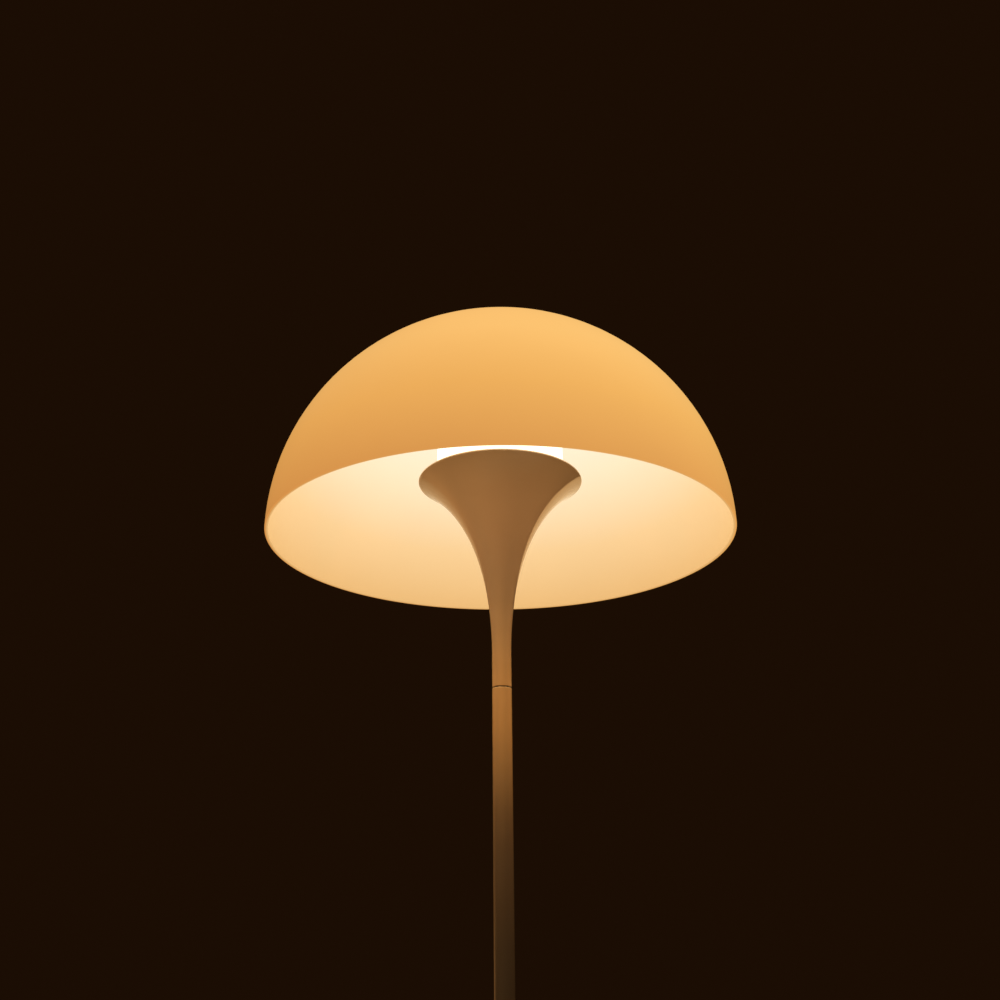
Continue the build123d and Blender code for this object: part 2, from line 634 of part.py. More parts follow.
def stem_tube():
    """The painted steel tube."""
    tube = ring(STEM_RADIUS, STEM_RADIUS - STEM_WALL, tube_bottom, tube_top)
    return chamfer(outer_circles(tube, STEM_RADIUS - STEM_WALL / 2), SEAM_CHAMFER)


# ---- Trumpet and what it carries -------------------------------------------------------------
def trumpet():
    """The painted flared top of the stem, with lugs inside its mouth."""
    bore = THREAD_RADIUS + FIT_GAP
    thread_top = trumpet_bottom + TRUMPET_THREAD
    inner_neck = (trumpet_inside[0][0], thread_top)
    seam_edge = (STEM_RADIUS - SEAM_CHAMFER, trumpet_bottom)
    neck_low = (STEM_RADIUS, trumpet_bottom + SEAM_CHAMFER)
    bore_ends = ((bore, thread_top), (bore, trumpet_bottom))
    below = path(trumpet_inside[0], inner_neck, *bore_ends, seam_edge, neck_low, trumpet_outside[0])
    lip = path(trumpet_outside[-1], trumpet_inside[-1])
    wall = turned([flare(trumpet_outside), *lip, flare(trumpet_inside), *below])
    lip_edges = outer_circles(wall, trumpet_inside[-1][0] - MARGIN)
    wall = fillet(lip_edges, TRUMPET_LIP_ROUND)
    for lug in trumpet_lugs():
        wall += lug
    return wall


def trumpet_lugs():
    """Pillars from the middle of the trumpet's wall up to the carrier plate, drilled for its screws."""
    middle = [((a + c) / 2, (b + d) / 2) for (a, b), (c, d) in zip(trumpet_outside, trumpet_inside)]
    room = inside_flare(middle)
    drill_radius = CARRIER_SCREW_RADIUS + FIT_GAP
    pillar = ring(LUG_RADIUS, 0, trumpet_bottom, carrier_bottom)
    pillar -= ring(drill_radius, 0, carrier_top - CARRIER_SCREW_LENGTH, carrier_bottom)
    return [lug & room for lug in at_each(lug_places, pillar)]


def carrier_plate():
    """The plate across the trumpet's mouth that holds the lampholder and the drum."""
    plate = ring(DRUM_RADIUS - CARRIER_INSET, HOLDER_RADIUS + HOLE_GAP, carrier_bottom, carrier_top)
    plate = drilled(plate, lug_places, CARRIER_SCREW_RADIUS + HOLE_GAP, carrier_bottom, carrier_top)
    plate = drilled(plate, vent_places, VENT_RADIUS, carrier_bottom, carrier_top)
    return drilled(plate, drum_screw_places, DRUM_SCREW_RADIUS + FIT_GAP, carrier_bottom, carrier_top)


def carrier_screws():
    """Screws through the carrier plate into the trumpet's lugs."""
    head = (CARRIER_SCREW_HEAD_RADIUS, CARRIER_SCREW_HEAD)
    return at_each(lug_places, screw(CARRIER_SCREW_RADIUS, CARRIER_SCREW_LENGTH, *head, carrier_top))


def diffuser_drum():
    """The opal cylinder round the bulb, open at the top, with a flange at its foot."""
    flange_top = carrier_top + DRUM_FLANGE_THICKNESS
    drum = ring(DRUM_RADIUS, drum_bore, carrier_top, drum_top)
    drum += ring(DRUM_RADIUS, drum_flange_bore, carrier_top, flange_top)
    drum = fillet(drum.edges().group_by(Axis.Z)[-1], DRUM_EDGE_ROUND)
    return drilled(drum, drum_screw_places, DRUM_SCREW_RADIUS + HOLE_GAP, carrier_top, flange_top)


def drum_screws():
    """Screws through the drum's flange into the carrier plate."""
    length = DRUM_FLANGE_THICKNESS + CARRIER_THICKNESS
    under_head = carrier_top + DRUM_FLANGE_THICKNESS
    one = screw(DRUM_SCREW_RADIUS, length, DRUM_SCREW_HEAD_RADIUS, DRUM_SCREW_HEAD, under_head)
    return at_each(drum_screw_places, one)


# ---- Lampholder ------------------------------------------------------------------------------
def holder_skirt():
    """The lampholder's outer skirt, with the flange that the carrier plate rests on."""
    bore = HOLDER_RADIUS - HOLDER_WALL
    skirt = ring(HOLDER_RADIUS, bore, skirt_bottom, holder_rim)
    skirt += ring(HOLDER_RADIUS + HOLDER_FLANGE, bore, carrier_bottom - HOLDER_FLANGE, carrier_bottom)
    return fillet(skirt.edges().group_by(Axis.Z)[-1], RIM_ROUND)


def holder_cap():
    """The lampholder's lower cap, tapering down to the nipple."""
    bore = THREAD_RADIUS + FIT_GAP
    floor_z = holder_bottom + HOLDER_CAP_WALL
    taper_z = holder_bottom + HOLDER_CAP_TAPER
    inner = HOLDER_RADIUS - HOLDER_CAP_WALL
    inner_foot = HOLDER_CAP_FOOT_RADIUS - HOLDER_CAP_WALL / 2
    foot = (bore, holder_bottom)
    outside = path(foot, (HOLDER_CAP_FOOT_RADIUS, holder_bottom), (HOLDER_RADIUS, taper_z),
                   (HOLDER_RADIUS, skirt_bottom), (inner, skirt_bottom))
    inside = path((inner, skirt_bottom), (inner, taper_z), (inner_foot, floor_z), (bore, floor_z), foot)
    return turned(outside + inside)


def holder_core():
    """The ceramic insert: a floor that carries the contacts and a sleeve round the brass shell."""
    core = ring(core_outer, 0, core_bottom, socket_floor)
    core += ring(core_outer, shell_outer + FIT_GAP, socket_floor, shell_top)
    drill_end = core_bottom + TERMINAL_LENGTH
    return drilled(core, terminal_places, TERMINAL_RADIUS + FIT_GAP, core_bottom, drill_end)


def thread_edges(root, depth, low, turns):
    """One side of a round thread in the XZ plane: a half wave outward and a flat for each turn."""
    quarter = THREAD_PITCH / 4
    edges = []
    for i in range(turns):
        base = low + i * THREAD_PITCH
        start, end = (root, 0, base + quarter), (root, 0, base + 3 * quarter)
        edges.append(Line((root, 0, base), start))
        edges.append(ThreePointArc(start, (root + depth, 0, base + 2 * quarter), end))
        edges.append(Line(end, (root, 0, base + 4 * quarter)))
    return edges


def contact_shell():
    """The brass shell of the socket, with the rings of its thread on the inside."""
    corners = ((SHELL_BORE, shell_top), (shell_outer, shell_top), (shell_outer, socket_floor),
               (SHELL_BORE, socket_floor))
    return turned(thread_edges(SHELL_BORE, THREAD_DEPTH, socket_floor, SHELL_TURNS) + path(*corners))


def centre_contact():
    """The contact tongue on the socket's floor."""
    tongue = block(2 * TERMINAL_OFFSET, TONGUE_WIDTH, socket_floor, socket_floor + TONGUE_THICKNESS)
    return fillet(tongue.edges().filter_by(Axis.Z), TONGUE_ROUND)


def terminal_screws():
    """The two terminal screws under the core."""
    one = screw_up(TERMINAL_RADIUS, TERMINAL_LENGTH, TERMINAL_HEAD_RADIUS, TERMINAL_HEAD, core_bottom)
    return at_each(terminal_places, one)


def clamp_ring():
    """The ring on the lampholder's thread that clamps the carrier plate."""
    clamp = ring(clamp_ring_radius, HOLDER_RADIUS + FIT_GAP, carrier_top, carrier_top + CLAMP_RING_HEIGHT)
    return fillet(outer_circles(clamp, HOLDER_RADIUS + MARGIN).sort_by(Axis.Z)[-1], RIM_ROUND)


def holder_nipple():
    """The hollow threaded nipple at the lampholder's foot."""
    return ring(THREAD_RADIUS, LEAD_PASSAGE, nipple_top - NIPPLE_LENGTH, nipple_top)


def holder_nut():
    """The nut that locks the nipple to the cap."""
    return hex_nut(holder_bottom - NUT_HEIGHT, holder_bottom)


def holder_wires():
    """The two conductors, fanning out from the lead's end to the terminals."""
    end_z = core_bottom - TERMINAL_HEAD
    wires = []
    for side in (-1, 1):
        start = Vector(side * (CONDUCTOR_RADIUS + CONDUCTOR_SPREAD), 0, lead_top)
        run = Vector(side * TERMINAL_OFFSET, 0, end_z) - start
        over = 2 * CONDUCTOR_RADIUS
        section = Plane(start - run.normalized() * over, z_dir=run) * Circle(CONDUCTOR_RADIUS)
        wire = extrude(section, run.length + 2 * over)
        wires.append(wire & ring(HOLDER_RADIUS, 0, lead_top, end_z))
    return wires


# ---- Bulb ------------------------------------------------------------------------------------
def bulb_tip():
    """The solder contact at the bottom of the bulb."""
    tip = ring(BULB_TIP_RADIUS, 0, bulb_tip_z, bulb_insulator_z)
    return chamfer(tip.edges().group_by(Axis.Z)[0], BULB_TIP_CHAMFER)


def bulb_insulator():
    """The dark insulator between tip and screw cap."""
    foot, head = (BULB_INSULATOR_FOOT, bulb_insulator_z), (BULB_INSULATOR_HEAD, bulb_shell_z)
    return turned(path((0, bulb_insulator_z), foot, head, (0, bulb_shell_z), (0, bulb_insulator_z)))


def bulb_screw_cap():
    """The nickel-plated screw cap, with its thread rings."""
    root = BULB_CAP_RADIUS - THREAD_DEPTH
    thread_top = bulb_shell_z + BULB_THREAD_TURNS * THREAD_PITCH
    closing = path((root, thread_top), (root, bulb_housing_z), (0, bulb_housing_z), (0, bulb_shell_z),
                   (root, bulb_shell_z))
    return turned(thread_edges(root, THREAD_DEPTH, bulb_shell_z, BULB_THREAD_TURNS) + closing)


def bulb_housing():
    """The white driver housing between screw cap and globe."""
    foot = BULB_CAP_RADIUS + BULB_HOUSING_LAP
    third = BULB_HOUSING_HEIGHT / 3
    side = [(foot, bulb_housing_z), (foot, bulb_housing_z + third),
            (BULB_GLOBE_MOUTH - third / 2, bulb_globe_z - third), (BULB_GLOBE_MOUTH, bulb_globe_z)]
    return inside_flare(side)


def bulb_globe():
    """The hollow opal globe."""
    centre_z = bulb_globe_z + sqrt(BULB_GLOBE_RADIUS**2 - BULB_GLOBE_MOUTH**2)
    ball = Pos(0, 0, centre_z) * (Sphere(BULB_GLOBE_RADIUS) - Sphere(BULB_GLOBE_RADIUS - BULB_GLOBE_WALL))
    return ball - ring(2 * BULB_GLOBE_RADIUS, 0, bulb_globe_z - BULB_GLOBE_RADIUS, bulb_globe_z)


def bulb_led_board():
    """The aluminium board that carries the light chips."""
    return ring(LED_BOARD_RADIUS, 0, bulb_globe_z, led_z)


def bulb_leds():
    """The light chips on their board."""
    chip = Pos(0, 0, led_z + LED_HEIGHT / 2) * Box(LED_SIZE, LED_SIZE, LED_HEIGHT)
    return at_each(around(LED_COUNT, LED_CIRCLE), chip)


# ---- Shade -----------------------------------------------------------------------------------
def dome_shade():
    """The opal hemisphere, open below, with a rounded rim."""
    ball = Pos(0, 0, shade_rim) * (Sphere(SHADE_RADIUS) - Sphere(shade_inner))
    dome = ball - ring(2 * SHADE_RADIUS, 0, shade_rim - 2 * SHADE_RADIUS, shade_rim)
    return fillet(dome.edges().group_by(Axis.Z)[0], SHADE_RIM_ROUND)


def shade_collar():
    """The white collar bonded in the dome, which drops over the drum and rests on its edge."""
    collar = ring(collar_radius, drum_bore, shade_seat, shade_rim + SHADE_RADIUS)
    collar += ring(collar_radius, collar_bore, drum_top - COLLAR_OVERLAP, shade_seat)
    return collar & Pos(0, 0, shade_rim) * Sphere(shade_inner - BOND_GAP)


# ---- All nodes -------------------------------------------------------------------------------
MAKERS = [
    foot_shell, ballast_weight, base_plate, base_screws, ballast_screws, foot_pads,
    cable_gland, gland_nut, cord_clamp, clamp_screws, inlet_lead, stem_lead,
    switch_housing, switch_bezel, foot_button, switch_spring, switch_contacts,
    lower_coupler, coupler_washer, coupler_nut, stem_tube, upper_coupler,
    trumpet, carrier_plate, carrier_screws, diffuser_drum, drum_screws,
    holder_skirt, holder_cap, holder_core, contact_shell, centre_contact, terminal_screws,
    clamp_ring, holder_nipple, holder_nut, holder_wires,
    bulb_tip, bulb_insulator, bulb_screw_cap, bulb_housing, bulb_globe, bulb_led_board, bulb_leds,
    dome_shade, shade_collar,
]

os.makedirs("parts", exist_ok=True)
for make in MAKERS:
    made = make()
    shape = Compound(children=made) if isinstance(made, list) else made
    export_step(shape, f"parts/{make.__name__}.step")
print(f"overall height {shade_rim + SHADE_RADIUS:.1f}, shade rim {shade_rim:.1f}, "
      f"trumpet lip {trumpet_lip:.1f}, drum top {drum_top:.1f}, bulb tip {bulb_tip_z:.1f}, "
      f"bezel top {bezel_top:.1f}")
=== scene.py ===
import json
from math import atan2, cos, pi, radians, sin

import bmesh
import bpy
from mathutils import Matrix, Vector


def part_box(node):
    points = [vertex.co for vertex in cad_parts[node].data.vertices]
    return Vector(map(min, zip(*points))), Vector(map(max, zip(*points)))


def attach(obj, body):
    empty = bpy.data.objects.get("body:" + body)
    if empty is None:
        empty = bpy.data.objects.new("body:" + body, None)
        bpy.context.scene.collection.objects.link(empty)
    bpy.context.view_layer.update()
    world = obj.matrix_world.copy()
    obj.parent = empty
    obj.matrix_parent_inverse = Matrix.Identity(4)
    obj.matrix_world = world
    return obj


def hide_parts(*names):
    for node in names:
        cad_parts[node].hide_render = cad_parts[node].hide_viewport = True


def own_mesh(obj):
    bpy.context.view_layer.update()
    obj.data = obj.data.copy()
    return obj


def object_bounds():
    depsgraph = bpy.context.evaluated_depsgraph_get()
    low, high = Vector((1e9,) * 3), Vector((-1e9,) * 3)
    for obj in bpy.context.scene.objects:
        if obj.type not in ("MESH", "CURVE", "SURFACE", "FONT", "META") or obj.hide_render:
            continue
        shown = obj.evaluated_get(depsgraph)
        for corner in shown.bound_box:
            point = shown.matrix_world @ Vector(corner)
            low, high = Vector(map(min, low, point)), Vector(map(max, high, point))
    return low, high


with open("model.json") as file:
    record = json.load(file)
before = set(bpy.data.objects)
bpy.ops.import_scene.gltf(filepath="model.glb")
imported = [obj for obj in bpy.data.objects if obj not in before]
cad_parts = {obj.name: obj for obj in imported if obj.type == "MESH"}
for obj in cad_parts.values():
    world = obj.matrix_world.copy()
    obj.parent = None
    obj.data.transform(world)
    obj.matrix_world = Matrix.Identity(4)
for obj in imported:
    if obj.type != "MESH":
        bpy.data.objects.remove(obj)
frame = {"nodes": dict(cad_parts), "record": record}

# The looks of the mushroom floor lamp, in metres, +Z up, around its fixed frame.
# The lamp is lit: its opal pieces glow, and warm spot lights stand in for most of the light that
# the paint below them catches.

CAD_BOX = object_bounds()
FLOOR = CAD_BOX[0].z
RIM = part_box("dome_shade")[0].z           # plane of the shade's rim
SHADE_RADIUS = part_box("dome_shade")[1].x  # outer radius of the hemisphere
SHADE_WALL = 0.0028
DRUM_FOOT, DRUM_HEAD = (corner.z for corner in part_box("diffuser_drum"))
TRUMPET_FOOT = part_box("trumpet")[0].z
TUBE_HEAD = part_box("stem_tube")[1].z

# ---- White paint --------------------------------------------------------------------------------
COAT_INDEX = 2.6                          # above a real lacquer's, for the trumpet's mirrored edges
RUB_START = TRUMPET_FOOT - 0.5            # the stem is glossy all round up to here,
RUB_FULL = TRUMPET_FOOT - 0.3             # and rubbed on its left from here up
RUB_SHARE = 0.92                          # of the coat that is rubbed off on the left
POLISH = 0.3                              # share of the roughness that is left on the right
SCUFF_FULL = FLOOR + 0.004                # the foot's edge is scuffed up to here,
SCUFF_END = FLOOR + 0.014                 # and clean from here up
SCUFF_SHARE = 0.3                         # of the scuffs' colour that shows
HIGHLIGHT_FULL = 0.0006                        # the painted highlight at the tube's head is full this near to it, and ends this far from it
HIGHLIGHT_END = 0.0010                         # and ends this far from it

# ---- Opal pieces --------------------------------------------------------------------------------
ACRYLIC_INDEX = 1.49
SHADE_GLOW = 1.5                          # emission strengths
DRUM_GLOW = 1.7
GLOBE_GLOW = 2.2
CHIP_GLOW = 6.0
GLOW_LEFT = (0.92, 0.87, 0.84, 1.0)       # shares of the glow outside the shade, on its left
GLOW_RIGHT = (1.08, 1.13, 1.16, 1.0)      # and on its right
INSIDE_ROUGH = 0.5                        # the shade is matt inside,
OUTSIDE_ROUGH = 0.16                      # glossy outside,
OUTSIDE_COAT = 0.25                       # and only coated there

# ---- Noise --------------------------------------------------------------------------------------
NOISE_LOW, NOISE_HIGH = 0.3, 0.7          # noise seldom leaves this range

# ---- Return spring of the foot switch -----------------------------------------------------------
SPRING_WIRE = 0.00045                     # radius
SPRING_TURNS = 5
TURN_STEPS = 40                           # rings of the wire in a turn
WIRE_SIDES = 12

# ---- Camera: a pinhole fitted to the shade's outline, its rim and the taper of the stem ---------
IMAGE_SIDE = 1000                         # pixels
FOCAL_LENGTH = 1144                       # pixels
SENSOR = 36.0                             # mm
CAMERA_CLIP = 0.01
CAMERA_DISTANCE = 0.926                   # from the stem's axis
CAMERA_BELOW_RIM = 0.339
CAMERA_PITCH = 22.23                      # degrees above level
CAMERA_ROLL = -0.5                        # degrees, the lamp leans a little in the picture
AXIS_SHIFT = 0.0003                       # the axis stands a little right of the middle

# ---- Studio -------------------------------------------------------------------------------------
FLOOR_RADIUS = 24
FLOOR_SIDES = 96
AMBIENT_LIGHT = (0.011, 0.0042, 0.0012)   # dim, warm, all round
STUDIO_COLOUR = (1.0, 0.66, 0.36)         # the soft light on the foot
SIDE_COLOUR = (1.0, 0.42, 0.12)           # the broad soft light from behind on the left
TUBE_COLOUR = (1.0, 0.34, 0.05)           # the last of the light, further down the stem
NECK_COLOUR = (1.0, 0.44, 0.10)           # the light below the shade
TRUMPET_COLOUR = (1.0, 0.24, 0.04)        # the deep warm light on the trumpet

# The soft lights on the foot: side, place, power.
FOOT_LIGHTS = (("left", (-0.75, -0.75, 0.40), 0.5), ("right", (0.8, 0.55, 0.40), 0.4))
FOOT_AIM = (0, 0, 0.03)
FOOT_LIGHT_SIDE = 0.4
FOOT_LIGHT_SPREAD = 60                    # degrees

BROAD_PLACE = (-0.98, 0.98, 0.60)
BROAD_AIM = (0, 0, 1.14)
BROAD_SIDE = 1.6
BROAD_POWER = 2.0
BROAD_SPREAD = 110                        # degrees

POOL_ASIDE = {"left": -0.86, "right": 0.86}
POOL_AHEAD = -0.5
POOL_SOURCE = 0.05                        # radius of the source, which softens the shadows
# The pools of light: height of the source, height of its aim, radius there, powers, colour.
POOLS = (
    ("tube", 0.90, 0.862, 0.068, {"left": 1.4, "right": 1.6}, TUBE_COLOUR),
    ("neck", 0.95, 0.970, 0.085, {"left": 15.0, "right": 18.6}, NECK_COLOUR),
    ("trumpet", 0.70, 1.12, 0.11, {"left": 4.4, "right": 5.5}, TRUMPET_COLOUR),
)


# ---- Colour -------------------------------------------------------------------------------------
def colour(red, green, blue):
    """A shader colour from 8-bit sRGB values."""
    shares = [value / 255 for value in (red, green, blue)]
    linear = [s / 12.92 if s <= 0.04045 else ((s + 0.055) / 1.055) ** 2.4 for s in shares]
    return (*linear, 1.0)


def glow_colour(red, green, blue):
    """The share of the shade's full glow that gives these linear values."""
    return (red / SHADE_GLOW, green / SHADE_GLOW, blue / SHADE_GLOW, 1.0)


# ---- Node materials -----------------------------------------------------------------------------
class Look:
    """A procedural material: one Principled shader and the nodes that feed it."""

    def __init__(self, name, **inputs):
        self.material = bpy.data.materials.new(name)
        self.material.use_nodes = True
        self.tree = self.material.node_tree
        self.shader = self.tree.nodes["Principled BSDF"]
        self.place = self.add("TexCoord").outputs["Object"]
        self.feed(self.shader, {key.replace("_", " "): value for key, value in inputs.items()})

    def add(self, kind, inputs=None, **settings):
        """A new node, with its settings and inputs."""
        node = self.tree.nodes.new("ShaderNode" + kind)
        for key, value in settings.items():
            setattr(node, key, value)
        self.feed(node, inputs or {})
        return node

    def feed(self, node, inputs):
        """Sets each input to a value, or links it to another node's output."""
        for key, value in inputs.items():
            if isinstance(value, bpy.types.NodeSocket):
                self.tree.links.new(value, node.inputs[key])
            else:
                node.inputs[key].default_value = value

    def noise(self, scale, detail=3.0, stretch=(1, 1, 1)):
        """Noise from 0 to 1; scale is in features per metre, along axes that stretch squeezes."""
        place = self.add("Mapping", {"Vector": self.place, "Scale": stretch}).outputs["Vector"]
        return self.add("TexNoise", {"Vector": place, "Scale": scale, "Detail": detail}).outputs["Fac"]

    def wander(self, scale, low, high, detail=3.0):
        """A value that wanders between low and high, in patches of this scale."""
        return self.span(self.noise(scale, detail), NOISE_LOW, NOISE_HIGH, low, high)

    def math(self, operation, *values):
        """A Math node's result."""
        return self.add("Math", dict(enumerate(values)), operation=operation).outputs[0]

    def span(self, value, low, high, start=0.0, end=1.0, smooth=False):
        """Value mapped from low..high to start..end, and kept within them."""
        kind = "SMOOTHSTEP" if smooth else "LINEAR"
        inputs = {"Value": value, "From Min": low, "From Max": high, "To Min": start, "To Max": end}
        return self.add("MapRange", inputs, interpolation_type=kind).outputs["Result"]

    def blend(self, share, first, second):
        """A colour between two, by share."""
        return self.add("Mix", {0: share, 6: first, 7: second}, data_type="RGBA").outputs[2]

    def ramp(self, share, stops):
        """A colour ramp with stops as (position, colour)."""
        node = self.add("ValToRGB", {"Fac": share})
        elements = node.color_ramp.elements
        for _ in stops[2:]:
            elements.new(0.5)
        for element, (position, shade) in zip(elements, stops):
            element.position = position
            element.color = shade
        return node.outputs["Color"]

    def bump(self, height, depth, under=None):
        """Relief of the given depth in metres, over another relief if there is one."""
        inputs = {"Height": height, "Distance": depth, "Strength": 1.0}
        if under is not None:
            inputs["Normal"] = under
        return self.add("Bump", inputs).outputs["Normal"]

    def finish(self, tint=None, rough=None, normal=None, glow=None, gloss=None):
        """Feeds the shader's varying inputs and returns the material."""
        varying = {"Base Color": tint, "Roughness": rough, "Normal": normal, "Emission Color": glow,
                   "Coat Weight": gloss}
        self.feed(self.shader, {key: value for key, value in varying.items() if value is not None})
        return self.material


def place_along(look, axis):
    """The coordinate of a point along an axis, in metres."""
    return look.add("SeparateXYZ", {"Vector": look.place}).outputs[axis]


def aside_of(look):
    """How far a point turns from the left of the axis, -1, to its right, 1."""
    flat = look.add("VectorMath", {0: look.place, 1: (1, 1, 0)}, operation="MULTIPLY").outputs["Vector"]
    turn = look.add("VectorMath", {0: flat}, operation="NORMALIZE").outputs["Vector"]
    return look.add("SeparateXYZ", {"Vector": turn}).outputs["X"]


def paint_tint(look):
    """Faintly mottled white, scuffed at the foot's edge, with a painted highlight at the tube's head."""
    # The paint's cream is partly painted light: warmth standing in for the lamp's warm light on white
    # paint.
    clean = look.blend(look.noise(35), colour(231, 206, 170), colour(239, 215, 180))
    low = look.span(place_along(look, "Z"), SCUFF_FULL, SCUFF_END, 1.0, 0.0, smooth=True)
    scuffs = look.span(look.noise(160, 6, (1, 1, 3)), 0.52, 0.66)
    share = look.math("MULTIPLY", look.math("MULTIPLY", low, scuffs), SCUFF_SHARE)
    scuffed = look.blend(share, clean, colour(150, 141, 128))
    # Painted highlight: a light band at the tube's head, standing in for light caught by its top edge.
    from_head = look.math("ABSOLUTE", look.math("SUBTRACT", place_along(look, "Z"), TUBE_HEAD))
    painted_highlight = look.span(from_head, HIGHLIGHT_FULL, HIGHLIGHT_END, 1.0, 0.0)
    return look.blend(painted_highlight, scuffed, colour(254, 241, 212))


def white_paint():
    """Gloss lacquer, rubbed dull on the left of trumpet and upper stem, and polished on the right."""
    look = Look("white_paint", Coat_Roughness=0.05, Coat_IOR=COAT_INDEX, IOR=1.42)
    high = look.span(place_along(look, "Z"), RUB_START, RUB_FULL, smooth=True)
    rubbed = look.span(aside_of(look), -0.5, 0.5, RUB_SHARE, 0.0, smooth=True)
    gloss = look.math("SUBTRACT", 1.0, look.math("MULTIPLY", high, rubbed))
    polished = look.math("MULTIPLY", high, look.math("SUBTRACT", RUB_SHARE, rubbed))
    kept = look.span(polished, 0.0, RUB_SHARE, 1.0, POLISH)
    rough = look.math("MULTIPLY", look.wander(90, 0.15, 0.17), kept)
    peel = look.bump(look.noise(650, 2), 0.00001)
    grain = look.bump(look.noise(2600, 2), 0.000003, peel)
    return look.finish(paint_tint(look), rough, grain, gloss=gloss)


def outward_of(look):
    """0 on the inside of the shade's wall, 1 on its outside."""
    up = look.add("VectorMath", {0: look.place, 1: (0, 0, RIM)}, operation="SUBTRACT").outputs["Vector"]
    reach = look.add("VectorMath", {0: up}, operation="LENGTH").outputs["Value"]
    middle = SHADE_RADIUS - SHADE_WALL / 2
    return look.span(reach, middle - SHADE_WALL / 4, middle + SHADE_WALL / 4, smooth=True)


def shade_light(look, outward):
    """Cream near the crown and orange at the rim inside; deeper outside, and brighter on the right."""
    rise = look.span(look.math("SUBTRACT", place_along(look, "Z"), RIM), 0.0, SHADE_RADIUS)
    inside = look.ramp(rise, [
        (0.00, glow_colour(0.745, 0.43, 0.155)), (0.28, glow_colour(0.85, 0.56, 0.265)),
        (0.60, glow_colour(0.90, 0.74, 0.51)), (1.00, glow_colour(0.98, 0.86, 0.78))])
    outside = look.ramp(rise, [
        (0.00, glow_colour(0.74, 0.335, 0.083)), (0.28, glow_colour(0.89, 0.447, 0.113)),
        (0.60, glow_colour(1.02, 0.565, 0.17)), (1.00, glow_colour(1.14, 0.64, 0.20))])
    side = look.span(place_along(look, "X"), -SHADE_RADIUS, SHADE_RADIUS)
    uneven = look.blend(side, GLOW_LEFT, GLOW_RIGHT)
    outside = look.add("VectorMath", {0: outside, 1: uneven}, operation="MULTIPLY").outputs["Vector"]
    glow = look.blend(outward, inside, outside)
    cloud = look.span(look.noise(14, 2), 0.2, 0.8, 0.97, 1.0)
    return look.add("VectorMath", {0: glow, "Scale": cloud}, operation="SCALE").outputs["Vector"]


def opal_shade():
    """Opal acrylic lit from inside, glossy outside and matt inside."""
    look = Look("opal_shade", Emission_Strength=SHADE_GLOW, Coat_Roughness=0.15, IOR=ACRYLIC_INDEX,
                Specular_IOR_Level=0.3)
    outward = outward_of(look)
    tint = look.blend(look.noise(20), colour(120, 112, 98), colour(130, 121, 107))
    ground = look.span(outward, 0.0, 1.0, INSIDE_ROUGH, OUTSIDE_ROUGH)
    rough = look.math("ADD", look.wander(120, 0.0, 0.08), ground)
    gloss = look.math("MULTIPLY", outward, OUTSIDE_COAT)
    relief = look.bump(look.noise(90, 1), 0.00002)
    return look.finish(tint, rough, relief, shade_light(look, outward), gloss)


def opal_drum():
    """Opal acrylic right round the bulb, lit white-hot."""
    look = Look("opal_drum", Emission_Strength=DRUM_GLOW, Coat_Weight=0.5, Coat_Roughness=0.1,
                IOR=ACRYLIC_INDEX)
    rise = look.span(place_along(look, "Z"), DRUM_FOOT, DRUM_HEAD)
    glow = look.ramp(rise, [
        (0.0, colour(255, 232, 196)), (0.35, colour(255, 244, 222)), (0.7, colour(255, 244, 222)),
        (1.0, colour(255, 230, 190))])
    tint = look.blend(look.noise(25), colour(236, 232, 222), colour(244, 240, 231))
    rough = look.wander(150, 0.18, 0.26)
    return look.finish(tint, rough, look.bump(look.noise(110, 1), 0.00002), glow)


def opal_globe():
    """The bulb's frosted globe."""
    look = Look("opal_globe", Emission_Strength=GLOBE_GLOW, IOR=ACRYLIC_INDEX)
    glow = look.blend(look.noise(30), colour(255, 226, 176), colour(255, 238, 200))
    tint = look.blend(look.noise(40), colour(236, 233, 224), colour(243, 240, 232))
    rough = look.wander(300, 0.42, 0.52)
    return look.finish(tint, rough, look.bump(look.noise(1800, 2), 0.00001), glow)


def moulded_white():
    """Moulded plastic with a fine spark-eroded grain."""
    look = Look("white_plastic", IOR=1.47)
    tint = look.blend(look.noise(50), colour(232, 228, 218), colour(239, 236, 227))
    rough = look.wander(400, 0.40, 0.52)
    return look.finish(tint, rough, look.bump(look.noise(2400, 3), 0.00003))


def moulded_black():
    """Black moulded plastic with a coarser grain."""
    look = Look("black_plastic", IOR=1.5)
    tint = look.blend(look.noise(80), colour(30, 30, 31), colour(42, 42, 43))
    rough = look.wander(500, 0.42, 0.58)
    return look.finish(tint, rough, look.bump(look.noise(1800, 3), 0.00004))


def black_rubber():
    """Matt rubber, dusty in patches."""
    look = Look("black_rubber", IOR=1.45)
    dust = look.span(look.noise(220, 5), 0.45, 0.75)
    tint = look.blend(look.math("MULTIPLY", dust, 0.4), colour(34, 33, 32), colour(96, 91, 84))
    rough = look.wander(300, 0.74, 0.88)
    return look.finish(tint, rough, look.bump(look.noise(1400, 4), 0.00006))


def lead_jacket():
    """The white flexible jacket of the lead, with a faint drawn grain."""
    look = Look("lead_jacket", IOR=1.46)
    tint = look.blend(look.noise(120, 3, (1, 1, 0.1)), colour(222, 218, 208), colour(232, 229, 220))
    rough = look.wander(200, 0.45, 0.58)
    return look.finish(tint, rough, look.bump(look.noise(900, 2, (1, 1, 0.15)), 0.00003))


def iron_weight():
    """Cast iron under thin black paint."""
    look = Look("iron_weight", IOR=1.5)
    tint = look.blend(look.noise(60, 5), colour(36, 36, 38), colour(62, 60, 58))
    rough = look.wander(180, 0.55, 0.75)
    return look.finish(tint, rough, look.bump(look.noise(420, 6), 0.0002))


